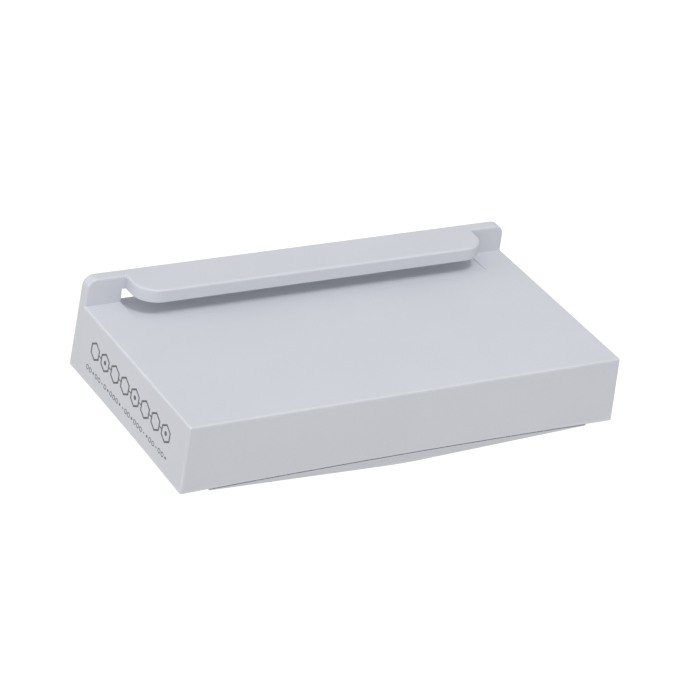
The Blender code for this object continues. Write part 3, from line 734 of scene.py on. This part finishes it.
fleece_cloth, fleece_tree, fleece_shader = new_material("fleece_cloth")
fleece_vector = object_vector(fleece_tree)
fibres = fibre_layer(fleece_tree, fleece_vector, 0.3, 5200.0)
for angle in (1.2, 2.0, 2.8):
    fibres = math_node(fleece_tree, "MAXIMUM", fibres,
                       fibre_layer(fleece_tree, fleece_vector, angle, 4700.0))
fleece_split = fleece_tree.nodes.new("ShaderNodeSeparateXYZ")
fleece_tree.links.new(fleece_vector, fleece_split.inputs[0])
bond_waves = [
    math_node(fleece_tree, "SINE", math_node(
        fleece_tree, "MULTIPLY", fleece_split.outputs[axis], math.tau / bond_pitch))
    for axis in range(2)]
bonds = spread(fleece_tree, math_node(fleece_tree, "MULTIPLY", *bond_waves), 0.45, 0.75, 0.0, 1.0)
fleece_tree.links.new(
    blend_colours(fleece_tree, spread(fleece_tree, fibres, 0.5, 0.75, 0.0, 1.0),
                  (0.56, 0.56, 0.55), (0.82, 0.82, 0.81)),
    fleece_shader.inputs["Base Color"])
fleece_tree.links.new(spread(fleece_tree, bonds, 0.0, 1.0, 0.95, 0.55),
                      fleece_shader.inputs["Roughness"])
fleece_shader.inputs["Sheen Weight"].default_value = 0.25
bump(fleece_tree, fleece_shader, math_node(fleece_tree, "SUBTRACT", fibres, bonds), 0.00006, 0.8)
coat(fleece, fleece_cloth)
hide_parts("dust_fleece")
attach(fleece, "housing")


# ---- Pull tab -----------------------------------------------------------------------------
# A woven polyester ribbon, 10 mm wide, welded to the front of the cartridge's lid and folded
# back under the lattice, where a finger finds it once the cover is open.
ribbon_width = 0.0100
ribbon_thick = 0.00025
ribbon_strands = 8
warp_pitch = 0.00062
weft_pitch = 0.00095
fold_radius = 0.00045
fold_steps = 5
drop_steps = 6
run_steps = 16
tab_low, tab_high = (Vector(corner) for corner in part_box("pull_tab"))
front_line = tab_low.y + ribbon_thick * 0.6
under_line = tab_low.z + ribbon_thick * 0.6
top_line = tab_high.z
tail_line = tab_high.y

bpy.ops.object.select_all(action="DESELECT")
bpy.ops.mesh.primitive_plane_add(size=1.0)
pull_ribbon = bpy.context.object
half_width = ribbon_width / 2
work_on(pull_ribbon, by="VERT")
bpy.ops.mesh.select_all(action="SELECT")
bpy.ops.mesh.merge(type="CENTER")
leave_editing()
pull_ribbon.data.vertices[0].co = (-half_width, front_line, top_line)
work_on(pull_ribbon, by="VERT")
bpy.ops.mesh.select_all(action="SELECT")
for strand in range(ribbon_strands):
    bpy.ops.mesh.extrude_vertices_move(
        TRANSFORM_OT_translate={"value": (ribbon_width / ribbon_strands, 0, 0)})
bpy.ops.mesh.select_all(action="SELECT")
drop = top_line - under_line - fold_radius
for step in range(drop_steps):
    bpy.ops.mesh.extrude_region_move(TRANSFORM_OT_translate={"value": (0, 0, -drop / drop_steps)})
bpy.ops.mesh.spin(steps=fold_steps, angle=-math.pi / 2, axis=(1, 0, 0),
                  center=(0, front_line + fold_radius, under_line + fold_radius))
run = tail_line - front_line - fold_radius
for step in range(run_steps):
    bpy.ops.mesh.extrude_region_move(TRANSFORM_OT_translate={"value": (0, run / run_steps, 0)})
bpy.ops.mesh.select_all(action="SELECT")
bpy.ops.mesh.remove_doubles(threshold=0.000001)
bpy.ops.mesh.normals_make_consistent(inside=False)
leave_editing()
pull_ribbon.name = "pull_ribbon"


def along_ribbon(place):
    """How far down the ribbon a point lies, from its upper end."""
    if place.z > under_line + fold_radius:
        return top_line - place.z
    if place.y > front_line + fold_radius:
        return drop + fold_radius * math.pi / 2 + place.y - front_line - fold_radius
    turn = math.atan2(under_line + fold_radius - place.z, front_line + fold_radius - place.y)
    return drop + fold_radius * turn


weave_map = pull_ribbon.data.uv_layers.new(name="weave")
for corner in pull_ribbon.data.loops:
    place = pull_ribbon.data.vertices[corner.vertex_index].co
    weave_map.data[corner.index].uv = (place.x + half_width, along_ribbon(place))
thicken(pull_ribbon, ribbon_thick)

ribbon_weave, weave_tree, weave_shader = new_material("ribbon_weave")
weave_uv = weave_tree.nodes.new("ShaderNodeUVMap")
weave_uv.uv_map = "weave"
weave_split = weave_tree.nodes.new("ShaderNodeSeparateXYZ")
weave_tree.links.new(weave_uv.outputs["UV"], weave_split.inputs[0])
warp = math_node(weave_tree, "SINE", math_node(
    weave_tree, "MULTIPLY", weave_split.outputs[0], math.tau / warp_pitch))
weft = math_node(weave_tree, "SINE", math_node(
    weave_tree, "MULTIPLY", weave_split.outputs[1], math.tau / weft_pitch))
crossing = math_node(weave_tree, "MULTIPLY", warp, weft)
thread = spread(weave_tree, crossing, -1.0, 1.0, 0.0, 1.0)
from_edge = math_node(weave_tree, "ABSOLUTE", math_node(
    weave_tree, "SUBTRACT", weave_split.outputs[0], half_width))
selvedge = spread(weave_tree, from_edge, half_width - 0.0009, half_width - 0.0006, 0.0, 1.0)
lint = noise_node(weave_tree, object_vector(weave_tree), 2600.0, 3.0, 0.6)
dark_thread = (0.13, 0.23, 0.36)
woven = blend_colours(weave_tree, thread, dark_thread, (0.36, 0.51, 0.66))
edged = blend_colours(weave_tree, math_node(weave_tree, "MULTIPLY", selvedge, 0.6),
                      woven, dark_thread)
weave_tree.links.new(
    blend_colours(weave_tree, spread(weave_tree, lint, 0.5, 0.8, 0.0, 0.35), edged,
                  (0.45, 0.55, 0.66)),
    weave_shader.inputs["Base Color"])
weave_tree.links.new(spread(weave_tree, thread, 0.0, 1.0, 0.85, 0.62),
                     weave_shader.inputs["Roughness"])
weave_shader.inputs["Sheen Weight"].default_value = 0.35
bump(weave_tree, weave_shader, thread, 0.00005, 0.9)
coat(pull_ribbon, ribbon_weave)
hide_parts("pull_tab")
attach(pull_ribbon, "housing")
